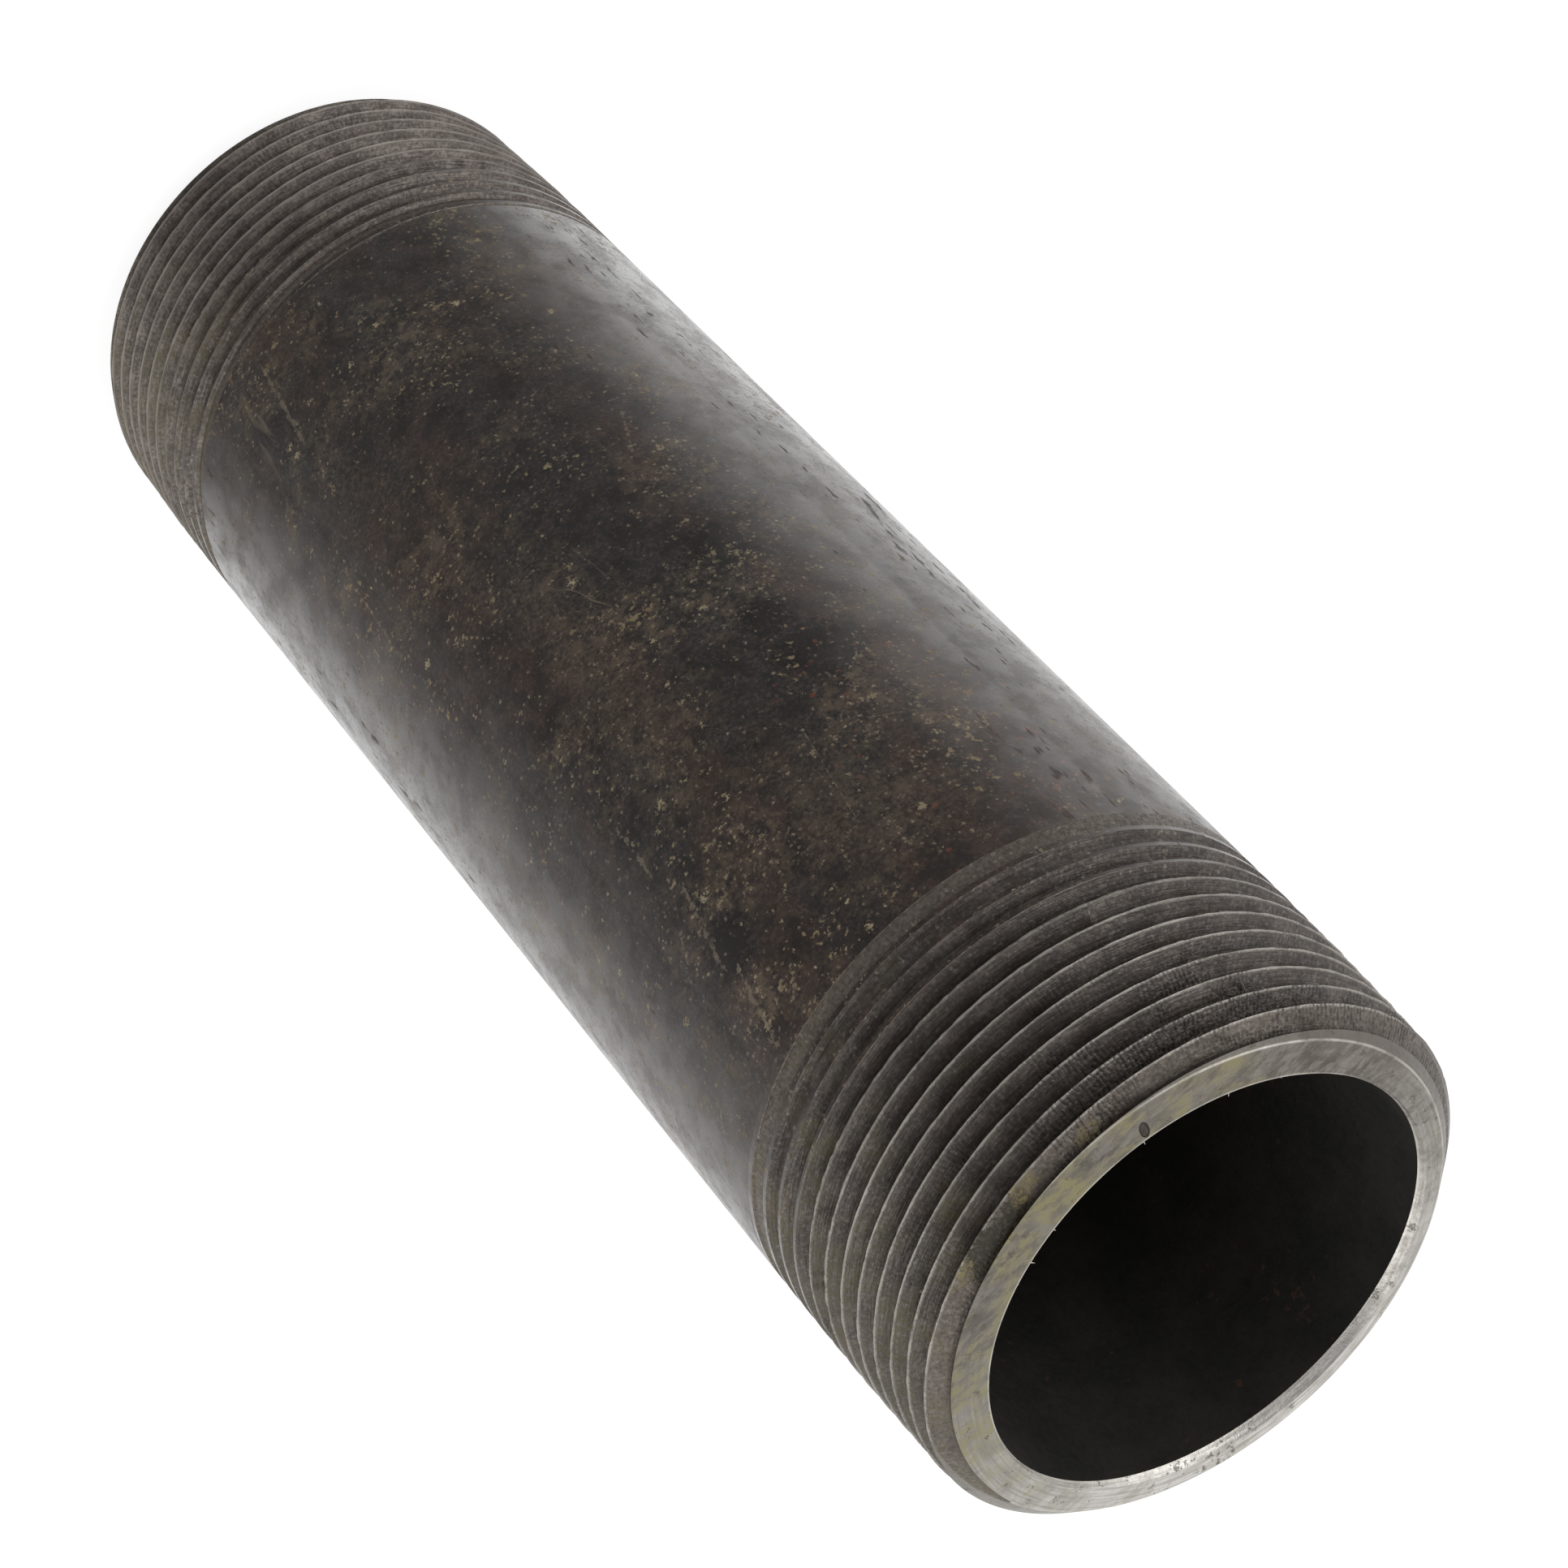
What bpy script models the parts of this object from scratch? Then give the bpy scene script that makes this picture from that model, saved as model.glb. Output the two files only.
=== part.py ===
"""A threaded pipe nipple: one length of black steel pipe with a right-hand taper thread cut on each end.

The pipe stands on end. Its axis is Z, and the origin is the centre of the lower end face.
Sizes are in metres, and both ends are alike: the upper thread is the lower one turned over.
"""

import math

import bmesh
import bpy
from mathutils import Matrix

INCH = 0.0254

# Driving sizes of the pipe: 1-1/2 inch extra-heavy, cut 6 inches long.
PIPE_LENGTH = 0.1524
PIPE_OUTER_DIAMETER = 0.04826
PIPE_WALL = 0.00508

# Driving sizes of the taper thread.
THREADS_PER_INCH = 11.5
DIAMETER_TAPER = 1 / 16
FLANK_ANGLE = math.radians(30)
THREAD_DEPTH_IN_PITCHES = 0.8
# Where round the pipe each thread starts. The two ends are cut one after the other, so they don't line up.
LOWER_THREAD_START = math.radians(60)
UPPER_THREAD_START = math.radians(172.5)

# The pipe-thread standard's rules, with the pipe's outer diameter D in inches and the pitch p:
# pitch diameter at the small end = D - (0.05 D + 1.1) p, effective length = (0.80 D + 6.8) p,
# and the shallowing threads after it take another 3.47 p.
PITCH_DIAMETER_SHARE = 0.05
PITCH_DIAMETER_PITCHES = 1.1
EFFECTIVE_LENGTH_SHARE = 0.80
EFFECTIVE_LENGTH_PITCHES = 6.8
VANISH_LENGTH_PITCHES = 3.47

# How the ends are dressed: a 45 degree lead chamfer outside, and a light ream at the bore.
LEAD_CHAMFER = 0.00236
REAM_WIDTH = 0.0008
REAM_DEPTH = 0.0010

# How finely the model is faceted, and how far the groove cutter stands out of the steel.
SEGMENTS = 48
CUTTER_STAND_OFF = 0.00006
CUTTER_LEAD_PITCHES = 1.5
CUTTER_TAIL_PITCHES = 0.25
WELD_DISTANCE = 0.000002
SHARP_ANGLE = math.radians(25)

outer_radius = PIPE_OUTER_DIAMETER / 2
bore_radius = outer_radius - PIPE_WALL
pitch = INCH / THREADS_PER_INCH
diameter_inches = PIPE_OUTER_DIAMETER / INCH
thread_depth = THREAD_DEPTH_IN_PITCHES * pitch
radius_taper = DIAMETER_TAPER / 2
pitch_diameter_drop = (PITCH_DIAMETER_SHARE * diameter_inches + PITCH_DIAMETER_PITCHES) * pitch
pitch_radius = (PIPE_OUTER_DIAMETER - pitch_diameter_drop) / 2
crest_radius = pitch_radius + thread_depth / 2
root_radius = pitch_radius - thread_depth / 2
effective_length = (EFFECTIVE_LENGTH_SHARE * diameter_inches + EFFECTIVE_LENGTH_PITCHES) * pitch
vanish_length = VANISH_LENGTH_PITCHES * pitch
thread_length = effective_length + vanish_length


def clear_scene():
    for obj in list(bpy.data.objects):
        bpy.data.objects.remove(obj, do_unlink=True)


def new_collection(name, hidden=False):
    collection = bpy.data.collections.new(name)
    collection.hide_render = hidden
    bpy.context.scene.collection.children.link(collection)
    return collection


def new_object(name, mesh, collection):
    obj = bpy.data.objects.new(name, mesh)
    collection.objects.link(obj)
    return obj


def black_steel():
    """The dark mill varnish of black pipe."""
    material = bpy.data.materials.new("black_pipe_steel")
    material.use_nodes = True
    shader = material.node_tree.nodes["Principled BSDF"]
    shader.inputs["Base Color"].default_value = (0.045, 0.038, 0.034, 1.0)
    shader.inputs["Roughness"].default_value = 0.38
    shader.inputs["Metallic"].default_value = 0.6
    return material


def crest_at(depth):
    """Radius of the cone that the crests touch, at a distance in from the end face."""
    return crest_radius + depth * radius_taper


def end_profile():
    """Points (radius, distance in from the end face), from the bore's edge out to the plain barrel."""
    face_radius = crest_radius - LEAD_CHAMFER
    # A 45 degree line from the face meets the crest cone a little further in than it drops.
    lead_depth = LEAD_CHAMFER / (1 - radius_taper)
    cone_depth = (outer_radius - crest_radius) / radius_taper
    return [
        (bore_radius, REAM_DEPTH),
        (bore_radius + REAM_WIDTH, 0.0),
        (face_radius, 0.0),
        (crest_at(lead_depth), lead_depth),
        (outer_radius, cone_depth),
    ]


def turned_pipe(collection, material):
    """The blank as the lathe leaves it: bore, end faces, chamfers and the cones that the crests touch."""
    upper = [(radius, PIPE_LENGTH - depth) for radius, depth in end_profile()]
    lower = [(radius, depth) for radius, depth in reversed(end_profile())]
    outline = upper + lower
    mesh = bpy.data.meshes.new("pipe_nipple")
    edges = [(index, (index + 1) % len(outline)) for index in range(len(outline))]
    mesh.from_pydata([(radius, 0.0, height) for radius, height in outline], edges, [])
    mesh.materials.append(material)
    pipe = new_object("pipe_nipple", mesh, collection)
    screw = pipe.modifiers.new("turn", "SCREW")
    screw.angle = math.tau
    screw.steps = SEGMENTS
    screw.render_steps = SEGMENTS
    screw.use_merge_vertices = True
    screw.merge_threshold = WELD_DISTANCE
    return pipe


def groove_cutter(name, collection):
    """A V-shaped bar wound along the groove, from outside the end face to where the thread vanishes."""
    half_width = (thread_depth + CUTTER_STAND_OFF) * math.tan(FLANK_ANGLE)
    start = -CUTTER_LEAD_PITCHES * pitch
    turns = (thread_length - start) / pitch + CUTTER_TAIL_PITCHES
    steps = round(turns * SEGMENTS)
    bar = bmesh.new()
    corners = [
        bar.verts.new((root_radius, 0.0, start)),
        bar.verts.new((crest_radius + CUTTER_STAND_OFF, 0.0, start + half_width)),
        bar.verts.new((crest_radius + CUTTER_STAND_OFF, 0.0, start - half_width)),
    ]
    section = bar.faces.new(corners)
    bmesh.ops.spin(
        bar,
        geom=[section, *section.edges, *corners],
        axis=(0.0, 0.0, 1.0),
        cent=(0.0, 0.0, 0.0),
        dvec=(0.0, 0.0, pitch / SEGMENTS),
        angle=math.tau * steps / SEGMENTS,
        steps=steps,
    )
    for vert in bar.verts:
        move_to_taper(vert)
    bmesh.ops.recalc_face_normals(bar, faces=bar.faces[:])
    mesh = bpy.data.meshes.new(name)
    bar.to_mesh(mesh)
    bar.free()
    cutter = new_object(name, mesh, collection)
    cutter.hide_render = True
    cutter.display_type = "WIRE"
    return cutter


def move_to_taper(vert):
    """Spreads the bar with the taper, and lifts its sharp edge out of the steel where the thread ends."""
    radius = math.hypot(vert.co.x, vert.co.y)
    depth = vert.co.z
    wanted = radius + depth * radius_taper
    if radius < pitch_radius and depth > effective_length:
        root_at_last_full_turn = root_radius + effective_length * radius_taper
        shallowing = (depth - effective_length) / vanish_length
        wanted = root_at_last_full_turn + shallowing * (outer_radius - root_at_last_full_turn)
    vert.co.x *= wanted / radius
    vert.co.y *= wanted / radius


def cut(piece, cutter):
    boolean = piece.modifiers.new(cutter.name, "BOOLEAN")
    boolean.operation = "DIFFERENCE"
    boolean.solver = "EXACT"
    boolean.object = cutter


def shade_round(piece):
    """Makes the modifiers' result the piece's own mesh, smooth round the pipe and sharp at its real edges."""
    graph = bpy.context.evaluated_depsgraph_get()
    mesh = bpy.data.meshes.new_from_object(piece.evaluated_get(graph))
    piece.modifiers.clear()
    piece.data = mesh
    mesh.shade_smooth()
    mesh.set_sharp_from_angle(angle=SHARP_ANGLE)


def main():
    clear_scene()
    nipple_parts = new_collection("threaded_pipe_nipple")
    cutters = new_collection("cutters", hidden=True)
    nipple = turned_pipe(nipple_parts, black_steel())

    lower_groove = groove_cutter("lower_groove_cutter", cutters)
    upper_groove = groove_cutter("upper_groove_cutter", cutters)
    lower_groove.matrix_world = Matrix.Rotation(LOWER_THREAD_START, 4, "Z")
    # Turned over, and not mirrored, so that the second thread is right-handed too.
    turned_over = Matrix.Translation((0.0, 0.0, PIPE_LENGTH)) @ Matrix.Rotation(math.pi, 4, "X")
    upper_groove.matrix_world = turned_over @ Matrix.Rotation(UPPER_THREAD_START, 4, "Z")
    cut(nipple, lower_groove)
    cut(nipple, upper_groove)

    weld = nipple.modifiers.new("weld", "WELD")
    weld.merge_threshold = WELD_DISTANCE
    shade_round(nipple)


main()
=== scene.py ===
# %% [markdown]
# # A threaded pipe nipple in oily black steel
# The real object is one length of steel pipe with a taper thread cut on each end. Its barrel keeps the
# pipe mill's dark varnish, while the threads and the end faces are bare, cut metal with cutting oil on it.
# We load the engineering model first. It is the fixed frame: what we make has to sit exactly where it sits.

# %% Load the frame
import math

import bmesh
import bpy
from mathutils import Matrix, Quaternion, Vector


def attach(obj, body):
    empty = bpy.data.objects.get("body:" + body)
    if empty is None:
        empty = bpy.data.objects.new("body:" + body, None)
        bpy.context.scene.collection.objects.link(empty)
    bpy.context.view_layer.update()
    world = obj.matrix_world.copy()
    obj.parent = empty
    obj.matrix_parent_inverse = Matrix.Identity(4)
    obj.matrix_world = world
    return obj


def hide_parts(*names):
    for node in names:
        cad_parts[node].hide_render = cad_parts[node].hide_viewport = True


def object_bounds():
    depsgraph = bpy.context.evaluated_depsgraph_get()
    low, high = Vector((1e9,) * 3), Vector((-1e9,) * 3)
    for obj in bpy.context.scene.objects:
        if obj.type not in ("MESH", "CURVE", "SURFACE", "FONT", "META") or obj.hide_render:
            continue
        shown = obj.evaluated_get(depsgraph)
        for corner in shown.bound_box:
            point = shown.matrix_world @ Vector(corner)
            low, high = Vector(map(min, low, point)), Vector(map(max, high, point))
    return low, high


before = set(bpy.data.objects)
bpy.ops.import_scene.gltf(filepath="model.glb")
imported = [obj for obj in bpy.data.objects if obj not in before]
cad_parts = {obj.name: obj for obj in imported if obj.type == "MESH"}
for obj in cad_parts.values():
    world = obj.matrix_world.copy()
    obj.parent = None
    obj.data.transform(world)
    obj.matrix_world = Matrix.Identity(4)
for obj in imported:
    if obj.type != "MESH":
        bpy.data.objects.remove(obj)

cad_low, cad_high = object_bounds()
print("frame box, mm:", [round(1000 * side, 2) for side in cad_high - cad_low])

# %% [markdown]
# ## Sizes
# A pipe thread is a standard thing, so almost every size follows from three numbers: the pipe's outer
# diameter, its wall and the threads per inch. The rest is arithmetic from the thread standard.
# The length and the diameter come from the frame, so that they can't drift from it.

# %% Sizes of the pipe and its thread
MM = 0.001
INCH = 25.4 * MM
pipe_length = cad_high.z - cad_low.z
outer_radius = (cad_high.x - cad_low.x) / 2
wall = 5.08 * MM
bore_radius = outer_radius - wall

pitch = INCH / 11.5
thread_depth = 0.8 * pitch
radius_taper = 1 / 32
diameter_inches = 2 * outer_radius / INCH
pitch_radius = outer_radius - (0.05 * diameter_inches + 1.1) * pitch / 2
crest_radius = pitch_radius + thread_depth / 2
root_radius = pitch_radius - thread_depth / 2
effective_length = (0.80 * diameter_inches + 6.8) * pitch
thread_length = effective_length + 3.47 * pitch
lead_chamfer = 2.36 * MM
around = 240
one_step = math.tau / around
print("pitch, mm:", round(pitch / MM, 3), " thread length, mm:", round(thread_length / MM, 2))

# %% [markdown]
# ## Helpers for edit mode
# An operator works on whatever is selected. So each step starts by clearing the selection, and then picks
# points by where they are. A few small helpers keep that readable.

# %% Helpers: one active object, and selection by place


def make_active(obj):
    """Selects obj alone and makes it active."""
    bpy.ops.object.select_all(action="DESELECT")
    obj.select_set(True)
    bpy.context.view_layer.objects.active = obj


def added(name):
    """Names the primitive that was just added, and bakes its place and size into its mesh."""
    obj = bpy.context.object
    obj.name = obj.data.name = name
    make_active(obj)
    bpy.ops.object.transform_apply(location=True, rotation=True, scale=True)
    return obj


def select_points(obj, wanted):
    """In edit mode, selects the points whose place passes the test, and the edges between them."""
    mesh = bmesh.from_edit_mesh(obj.data)
    for point in mesh.verts:
        point.select_set(False)
    for point in mesh.verts:
        if wanted(point.co):
            point.select_set(True)
    mesh.select_flush_mode()
    bmesh.update_edit_mesh(obj.data)


def apply_modifiers(obj):
    make_active(obj)
    for modifier in list(obj.modifiers):
        bpy.ops.object.modifier_apply(modifier=modifier.name)


def boolean(piece, tool, operation="DIFFERENCE"):
    """Cuts the tool's shape out of the piece, or keeps only what is inside it, and removes the tool."""
    cut = piece.modifiers.new("cut", "BOOLEAN")
    cut.operation = operation
    cut.solver = "EXACT"
    cut.object = tool
    apply_modifiers(piece)
    bpy.data.objects.remove(tool)


# %% [markdown]
# ## The turned blank
# A lathe makes the blank, so we do what a lathe does: draw the wall's section and turn it about the axis.
# The section starts as a plane as long as the pipe and as thick as the wall. Each bisect is one pass of a
# tool, and leaves the shallow cone that the crests will touch. A full spin then makes the pipe, and merging
# doubles closes the seam where the turn meets itself.

# %% Draw the section, cut its corners and turn it
bpy.ops.mesh.primitive_plane_add(
    size=1,
    location=(outer_radius - wall / 2, 0, pipe_length / 2),
    rotation=(math.pi / 2, 0, 0),
)
bpy.context.object.scale = (wall, pipe_length, 1)
nipple = added("pipe_nipple_steel")
bpy.ops.object.mode_set(mode="EDIT")
for end, inward in ((0.0, 1.0), (pipe_length, -1.0)):
    bpy.ops.mesh.select_all(action="SELECT")
    bpy.ops.mesh.bisect(
        plane_co=(crest_radius, 0, end),
        plane_no=(1, 0, -radius_taper * inward),
        clear_outer=True,
        threshold=0.000001,
    )
bpy.ops.mesh.select_all(action="SELECT")
bpy.ops.mesh.delete(type="ONLY_FACE")
bpy.ops.mesh.select_all(action="SELECT")
bpy.ops.mesh.spin(steps=around, angle=math.tau, center=(0, 0, 0), axis=(0, 0, 1))
bpy.ops.mesh.select_all(action="SELECT")
bpy.ops.mesh.remove_doubles(threshold=0.000002)
bpy.ops.mesh.normals_make_consistent(inside=False)
bpy.ops.object.mode_set(mode="OBJECT")
print("blank:", len(nipple.data.polygons), "faces")

# %% [markdown]
# ## The lead chamfers
# A 45 degree chamfer lets the thread start. The tool ran out of true, so the flat ring that it leaves on
# the end face is wide on one side and narrow on the other. A cone set off centre and kept by an
# intersection does what the tool did: everything outside the cone is gone.

# %% Chamfer both ends off centre
upper_ring = {"radius": 21.80 * MM, "x": 0.40 * MM, "y": -0.95 * MM}
lower_ring = {"radius": 21.50 * MM, "x": -0.25 * MM, "y": 0.20 * MM}


def keep_inside_cone(end, inward, ring):
    """Cuts a 45 degree chamfer that leaves a flat ring of the given radius and centre."""
    bpy.ops.mesh.primitive_cone_add(
        vertices=around,
        radius1=ring["radius"] + 8 * MM,
        radius2=ring["radius"] - 2 * MM,
        depth=10 * MM,
        location=(ring["x"], ring["y"], end + inward * 3 * MM),
        rotation=(0 if inward < 0 else math.pi, 0, one_step / 5),
    )
    cone = added("chamfer_cone")
    bpy.ops.object.mode_set(mode="EDIT")
    select_points(cone, lambda place: abs(place.z - end) > 4 * MM)
    bpy.ops.mesh.extrude_region_move(
        TRANSFORM_OT_translate={"value": (0, 0, inward * (pipe_length + 2 * MM))}
    )
    bpy.ops.object.mode_set(mode="OBJECT")
    boolean(nipple, cone, "INTERSECT")


keep_inside_cone(pipe_length, -1, upper_ring)
keep_inside_cone(0.0, 1, lower_ring)
print("chamfered:", len(nipple.data.polygons), "faces")

# %% [markdown]
# ## The thread cutter
# The die's teeth follow a helix, so the cutter is a V-shaped bar wound up like a spring. Its section is a
# plane narrowed at the bottom to the thread's small root flat. Near the top it flares, which rounds the
# crests as wear does. The Screw modifier winds it, and Simple Deform's taper opens it by 1 in 32 a side.
# The die's mouth is a cone, so its first teeth cut only shallow grooves with flat bottoms. Taking that
# cone out of the bar gives the shallow turns where the thread runs out.
# The bar, the cone and the pipe are each turned by a different part of a step. Their facets then cross
# well inside each other, because edges that lie on edges are what trips a Boolean.

# %% Wind a bar along the groove


def groove_bar(name):
    """A closed V bar along the groove of a thread whose end face is at z = 0 and which runs up the pipe."""
    start = -1.5 * pitch
    turns = 14
    flank = math.tan(math.radians(30))
    root_flat = 0.038 * pitch
    # Height above the root and half width, up one side of the V.
    outline = [
        (0.0, root_flat / 2),
        (thread_depth - 0.12 * MM, root_flat / 2 + (thread_depth - 0.12 * MM) * flank),
        (thread_depth - 0.045 * MM, pitch / 2 - 0.062 * MM),
        (thread_depth - 0.010 * MM, pitch / 2 - 0.025 * MM),
        (thread_depth + 0.040 * MM, pitch / 2 - 0.018 * MM),
    ]
    bpy.ops.mesh.primitive_plane_add(
        size=1,
        location=(root_radius + outline[1][0] / 2, 0, start),
        rotation=(math.pi / 2, 0, 0),
    )
    bpy.context.object.scale = (outline[1][0], 2 * outline[1][1], 1)
    bar = added(name)
    middle = (root_radius, 0, start)
    bpy.ops.object.mode_set(mode="EDIT")
    select_points(bar, lambda place: place.x < root_radius + 0.1 * MM)
    bpy.ops.transform.resize(value=(1, 1, outline[0][1] / outline[1][1]), center_override=middle)
    for (low, narrow), (high, wide) in zip(outline[1:], outline[2:]):
        select_points(bar, lambda place: place.x > root_radius + low - 0.001 * MM)
        bpy.ops.mesh.extrude_edges_move(TRANSFORM_OT_translate={"value": (high - low, 0, 0)})
        bpy.ops.transform.resize(value=(1, 1, wide / narrow), center_override=middle)
    bpy.ops.mesh.select_all(action="SELECT")
    bpy.ops.mesh.dissolve_faces()
    bpy.ops.mesh.delete(type="ONLY_FACE")
    bpy.ops.object.mode_set(mode="OBJECT")

    wind = bar.modifiers.new("wind", "SCREW")
    wind.angle = math.tau
    wind.screw_offset = pitch
    wind.iterations = turns
    wind.steps = wind.render_steps = around
    apply_modifiers(bar)
    close_bar_ends(bar)

    height = turns * pitch + 2 * outline[-1][1]
    taper = bar.modifiers.new("taper", "SIMPLE_DEFORM")
    taper.deform_method = "TAPER"
    taper.deform_axis = "Z"
    taper.factor = height * radius_taper / pitch_radius
    apply_modifiers(bar)

    mouth_low = effective_length - pitch
    mouth_high = thread_length + 2 * pitch
    root_at_mouth = root_radius + effective_length * radius_taper
    mouth_slope = (outer_radius - root_at_mouth) / (thread_length - effective_length)
    bpy.ops.mesh.primitive_cone_add(
        vertices=around,
        radius1=root_at_mouth + (mouth_low - effective_length) * mouth_slope,
        radius2=root_at_mouth + (mouth_high - effective_length) * mouth_slope,
        depth=mouth_high - mouth_low,
        location=(0, 0, (mouth_low + mouth_high) / 2),
        rotation=(0, 0, one_step / 3),
    )
    boolean(bar, added("die_mouth"))
    return bar


def close_bar_ends(bar):
    """Fills the two open ends of the wound bar, one after the other, and points all its faces outwards."""
    bpy.ops.object.mode_set(mode="EDIT")
    for side in (-1, 1):
        bpy.ops.mesh.select_all(action="DESELECT")
        mesh = bmesh.from_edit_mesh(bar.data)
        middle = sum(point.co.z for point in mesh.verts) / len(mesh.verts)
        for edge in mesh.edges:
            if edge.is_boundary and side * (edge.verts[0].co.z - middle) > 0:
                edge.select_set(True)
        bmesh.update_edit_mesh(bar.data)
        bpy.ops.mesh.edge_face_add()
    bpy.ops.mesh.select_all(action="SELECT")
    bpy.ops.mesh.normals_make_consistent(inside=False)
    bpy.ops.object.mode_set(mode="OBJECT")


# %% [markdown]
# One bar cuts both ends. Both threads are right-hand, so for the upper end the bar is turned over end for
# end, and not mirrored. Each is turned about the pipe to where its own thread starts.

# %% Cut both threads
lower_start = math.radians(60)
upper_start = math.radians(172.5)
lower_bar = groove_bar("lower_groove")
upper_bar = lower_bar.copy()
upper_bar.data = lower_bar.data.copy()
bpy.context.collection.objects.link(upper_bar)
lower_bar.rotation_euler.z = lower_start + one_step / 2
turned_over = Matrix.Translation((0, 0, pipe_length)) @ Matrix.Rotation(math.pi, 4, "X")
upper_bar.matrix_world = turned_over @ Matrix.Rotation(upper_start + one_step / 2, 4, "Z")
boolean(nipple, lower_bar)
boolean(nipple, upper_bar)
print("threaded:", len(nipple.data.polygons), "faces,", len(nipple.data.vertices), "points")

# %% [markdown]
# ## The reamed mouth of the bore
# After cutting to length, a reamer takes the burr off the bore's edge. It was not held quite in line, so
# its cone is off centre: wide on one side, and nothing at all on the other. A cone set off centre cuts it.

# %% Ream both ends a little off centre


def ream(end, inward, width, shift_x, shift_y):
    """Cuts a 50 degree cone into the bore's edge. Its widest circle is width outside the bore's."""
    outside = 1.0 * MM
    depth = 2.4 * MM
    wide = bore_radius + width
    slope = 0.85
    bpy.ops.mesh.primitive_cone_add(
        vertices=around,
        radius1=wide + outside * slope,
        radius2=wide - depth * slope,
        depth=outside + depth,
        location=(shift_x, shift_y, end + inward * (depth - outside) / 2),
        rotation=(0 if inward > 0 else math.pi, 0, one_step / 4),
    )
    boolean(nipple, added("reamer"))


ream(pipe_length, -1, 0.20 * MM, -0.05 * MM, 0.42 * MM)
ream(0.0, 1, 0.35 * MM, 0.35 * MM, -0.25 * MM)

# %% [markdown]
# Points that two cuts left on top of each other are merged before anything is moved.

# %% Merge doubles
make_active(nipple)
bpy.ops.object.mode_set(mode="EDIT")
bpy.ops.mesh.select_all(action="SELECT")
bpy.ops.mesh.remove_doubles(threshold=0.000003)
bpy.ops.object.mode_set(mode="OBJECT")
print("points after merging:", len(nipple.data.vertices))

# %% [markdown]
# ## Wear: ragged crests and a pit
# Crests tear a little as the die passes, and get knocked in store. Displace moves only the points that a
# vertex group names, here those near the crests, and always inwards. A small pit shows in the end face.
# It is cut out with a squashed ball.

# %% Tear the crests and sink the pit
make_active(nipple)
torn = nipple.vertex_groups.new(name="crests")
torn_points = []
for point in nipple.data.vertices:
    from_end = min(point.co.z, pipe_length - point.co.z)
    height = math.hypot(point.co.x, point.co.y) - root_radius - from_end * radius_taper
    in_thread = from_end < thread_length - pitch and from_end > 0.3 * MM
    if in_thread and height > 0.93 * thread_depth:
        torn_points.append(point.index)
torn.add(torn_points, 1.0, "REPLACE")
lumps = bpy.data.textures.new("torn_lumps", "CLOUDS")
lumps.noise_scale = 1.1 * MM
lumps.noise_depth = 3
lumps.contrast = 1.8
tear = nipple.modifiers.new("tear", "DISPLACE")
tear.texture = lumps
tear.texture_coords = "LOCAL"
tear.vertex_group = "crests"
tear.mid_level = 1.0
tear.strength = 0.09 * MM
apply_modifiers(nipple)
nipple.vertex_groups.clear()

pit_turn = math.radians(-101)
pit_reach = 20.15 * MM
bpy.ops.mesh.primitive_ico_sphere_add(
    subdivisions=3,
    radius=0.5 * MM,
    location=(pit_reach * math.cos(pit_turn), pit_reach * math.sin(pit_turn), pipe_length),
    rotation=(0, 0, pit_turn),
)
bpy.context.object.scale = (1.8, 0.8, 0.9)
boolean(nipple, added("pit_ball"))
print("torn points:", len(torn_points))

# %% [markdown]
# ## Shading
# The faces are shaded smooth, except across edges sharper than 40 degrees, such as the rims.

# %% Shade smooth by angle
make_active(nipple)
bpy.ops.object.shade_smooth_by_angle(angle=math.radians(40))
print("nipple:", len(nipple.data.polygons), "faces")

# %% [markdown]
# ## Which face is which surface
# One piece of steel shows four surfaces: the mill's varnish on the barrel, the cut thread, the cut ends and
# the scale inside the bore. The cuts have already made the borders between them, so each face's place says
# which it is. Crest flats near the run-out stand as high as the barrel, and so they keep the varnish, as
# they do on the real pipe.

# %% Material slots, and faces assigned by place
VARNISH, THREAD, END, SCALE = range(4)
finishes = {}
for finish in ("mill_varnish", "cut_thread", "cut_end", "bore_scale"):
    finishes[finish] = bpy.data.materials.new(finish)
    finishes[finish].use_nodes = True
    nipple.data.materials.append(finishes[finish])


def surface_of(middle, normal):
    """The slot number of a face, from its middle point and its normal."""
    radius = math.hypot(middle.x, middle.y)
    from_end = min(middle.z, pipe_length - middle.z)
    outwards = (normal.x * middle.x + normal.y * middle.y) / radius
    if outwards < -0.9:
        return SCALE
    if radius > outer_radius - 0.02 * MM and outwards > 0.97 and from_end > lead_chamfer:
        return VARNISH
    ring = upper_ring if middle.z > pipe_length / 2 else lower_ring
    off_centre = math.hypot(middle.x - ring["x"], middle.y - ring["y"])
    on_chamfer = abs(off_centre - ring["radius"] - from_end) < 0.05 * MM
    if from_end < 0.01 * MM or on_chamfer or outwards < -0.3:
        return END
    return THREAD


for face in nipple.data.polygons:
    face.material_index = surface_of(face.center, face.normal)
counts = [0] * len(finishes)
for face in nipple.data.polygons:
    counts[face.material_index] += 1
print("faces by surface:", dict(zip(finishes, counts)))

# %% [markdown]
# ## Burrs and chips
# The reamer missed one side of the bore, so little burrs still stand at its edge, and a few slivers of
# cut metal stick in the thread. Each is a small cone, turned to lie as it lies and joined to the piece.
# A sliver has to be rooted in a flank, so its height is counted from the middle of the groove at its angle.

# %% Add burrs and slivers


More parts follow.
